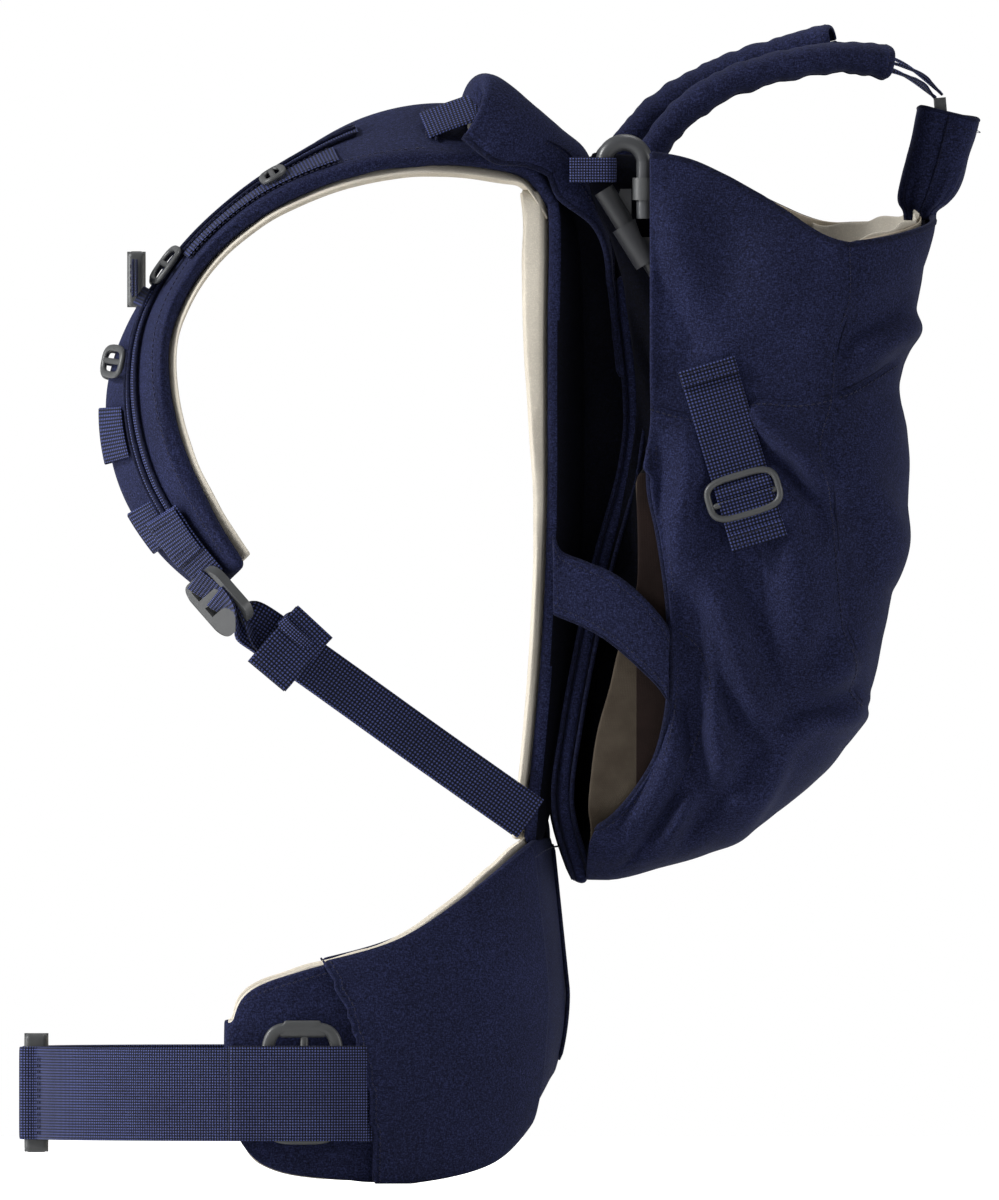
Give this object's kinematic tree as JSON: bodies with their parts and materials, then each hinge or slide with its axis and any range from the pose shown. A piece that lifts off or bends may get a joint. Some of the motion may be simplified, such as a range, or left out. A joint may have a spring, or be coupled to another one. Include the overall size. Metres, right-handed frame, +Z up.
{
  "type": "soft baby carrier",
  "caption": "Structured soft child carrier worn on the back: padded hip belt, shoulder straps, back panel and a child seat pouch with its own harness.",
  "frame": {"origin": "middle of the overall length and width, at the lowest point of the hip belt", "axes": "+Z up, the wearer faces -X and the child sits on the +X side, +Y to the wearer's right"},
  "size_m": [0.5178, 0.3468, 0.6228],
  "materials": {
    "navy_fabric": "woven, matt",
    "navy_webbing": "ribbed webbing",
    "cream_lining": "brushed cotton",
    "beige_lining": "cotton",
    "foam": "closed-cell foam",
    "dark_plastic": "fine texture",
    "grey_plastic": "satin",
    "steel": "satin",
    "aluminium_tube": "bright"
  },
  "bodies": {
    "carrier": {"back_panel_cover": "navy_fabric", "back_panel_foam": "foam", "back_panel_lining": "cream_lining", "back_stays": "steel", "belt_adjusters": "dark_plastic", "belt_webbing_socket_loop": "navy_webbing", "belt_webbings": "navy_webbing", "crossbar_end_caps": "dark_plastic", "hip_pockets": "navy_fabric", "hip_wing_covers": "navy_fabric", "hip_wing_foams": "foam", "hip_wing_linings": "cream_lining", "inner_gussets": "navy_fabric", "load_lifter_webbings": "navy_webbing", "lower_webbings": "navy_webbing", "lumbar_cover": "navy_fabric", "lumbar_foam": "foam", "lumbar_lining": "cream_lining", "shoulder_strap_covers": "navy_fabric", "shoulder_strap_foams": "foam", "shoulder_strap_linings": "cream_lining", "strap_clips": "dark_plastic", "strap_end_tabs": "navy_webbing", "strap_webbing_loops": "navy_webbing", "strap_zips": "navy_webbing", "top_crossbar": "aluminium_tube", "top_hood": "navy_fabric", "waist_buckle_socket": "dark_plastic"},
    "lock_left": {"ladder_lock_left": "dark_plastic"},
    "lock_right": {"ladder_lock_right": "dark_plastic"},
    "waist_plug": {"waist_buckle_plug": "dark_plastic", "waist_buckle_latch_arms": "dark_plastic", "belt_webbing_plug_loop": "navy_webbing"},
    "chest_strap": {"chest_strap_sliders": "dark_plastic", "chest_webbing_left": "navy_webbing", "chest_buckle_socket": "dark_plastic"},
    "chest_plug": {"chest_buckle_plug": "dark_plastic", "chest_buckle_latch_arms": "dark_plastic", "chest_webbing_right": "navy_webbing"},
    "seat": {"seat_front_panel": "navy_fabric", "pouch_shell": "navy_fabric", "pouch_lining": "beige_lining", "leg_bands": "navy_fabric", "side_webbings": "navy_webbing", "frame_hooks": "steel", "hook_collars": "grey_plastic", "strut_sockets": "grey_plastic", "hanger_webbings": "navy_webbing", "rear_sleeve": "navy_fabric", "harness_socket": "dark_plastic"},
    "slider_left": {"side_slider_left": "dark_plastic"},
    "slider_right": {"side_slider_right": "dark_plastic"},
    "strut_left": {"seat_strut_left": "steel"},
    "strut_right": {"seat_strut_right": "steel"},
    "button_left": {"strut_button_left": "steel"},
    "button_right": {"strut_button_right": "steel"},
    "child_harness": {"child_shoulder_pads": "navy_fabric", "child_harness_webbings": "navy_webbing", "harness_tongue": "dark_plastic"},
    "harness_button": {"harness_release_button": "dark_plastic"}
  },
  "joints": [
    {"name": "ladder_lock_left_tilt", "type": "hinge", "parent": "carrier", "child": "lock_left", "pos_m": [-0.16202, -0.13705, 0.32385], "axis": [-0.3763, 0.866, -0.3293], "range_deg": [0, 35]},
    {"name": "ladder_lock_right_tilt", "type": "hinge", "parent": "carrier", "child": "lock_right", "pos_m": [-0.16202, 0.13705, 0.32385], "axis": [0.3763, 0.866, 0.3293], "range_deg": [0, 35]},
    {"name": "waist_buckle_release", "type": "slide", "parent": "carrier", "child": "waist_plug", "axis": [0, 1, 0], "range_m": [0, 0.027], "deforming": ["waist_buckle_latch_arms"]},
    {"name": "chest_strap_slide", "type": "slide", "parent": "carrier", "child": "chest_strap", "axis": [-0.5291, 0, -0.8486], "range_m": [-0.015, 0.015]},
    {"name": "chest_buckle_release", "type": "slide", "parent": "chest_strap", "child": "chest_plug", "axis": [0, 1, 0], "range_m": [0, 0.022], "deforming": ["chest_buckle_latch_arms"]},
    {"name": "seat_tilt", "type": "hinge", "parent": "carrier", "child": "seat", "pos_m": [0.03645, 0, 0.172], "axis": [0, 1, 0], "range_deg": [0, 6]},
    {"name": "side_slider_left_slide", "type": "slide", "parent": "seat", "child": "slider_left", "axis": [-0.2656, 0, 0.9641], "range_m": [-0.012, 0.05]},
    {"name": "side_slider_right_slide", "type": "slide", "parent": "seat", "child": "slider_right", "axis": [-0.2656, 0, 0.9641], "range_m": [-0.012, 0.05]},
    {"name": "seat_strut_left_extend", "type": "slide", "parent": "seat", "child": "strut_left", "axis": [0.5291, 0, -0.8486], "range_m": [0, 0.02]},
    {"name": "seat_strut_right_extend", "type": "slide", "parent": "seat", "child": "strut_right", "axis": [0.5291, 0, -0.8486], "range_m": [0, 0.02]},
    {"name": "strut_button_left_press", "type": "slide", "parent": "strut_left", "child": "button_left", "axis": [0, 1, 0], "range_m": [0, 0.0015]},
    {"name": "strut_button_right_press", "type": "slide", "parent": "strut_right", "child": "button_right", "axis": [0, -1, 0], "range_m": [0, 0.0015]},
    {"name": "child_harness_lift", "type": "hinge", "parent": "seat", "child": "child_harness", "pos_m": [0.08145, 0, 0.553], "axis": [0, -1, 0], "range_deg": [0, 70]},
    {"name": "harness_button_press", "type": "slide", "parent": "seat", "child": "harness_button", "axis": [-0.9962, 0, -0.0872], "range_m": [0, 0.0014]}
  ]
}
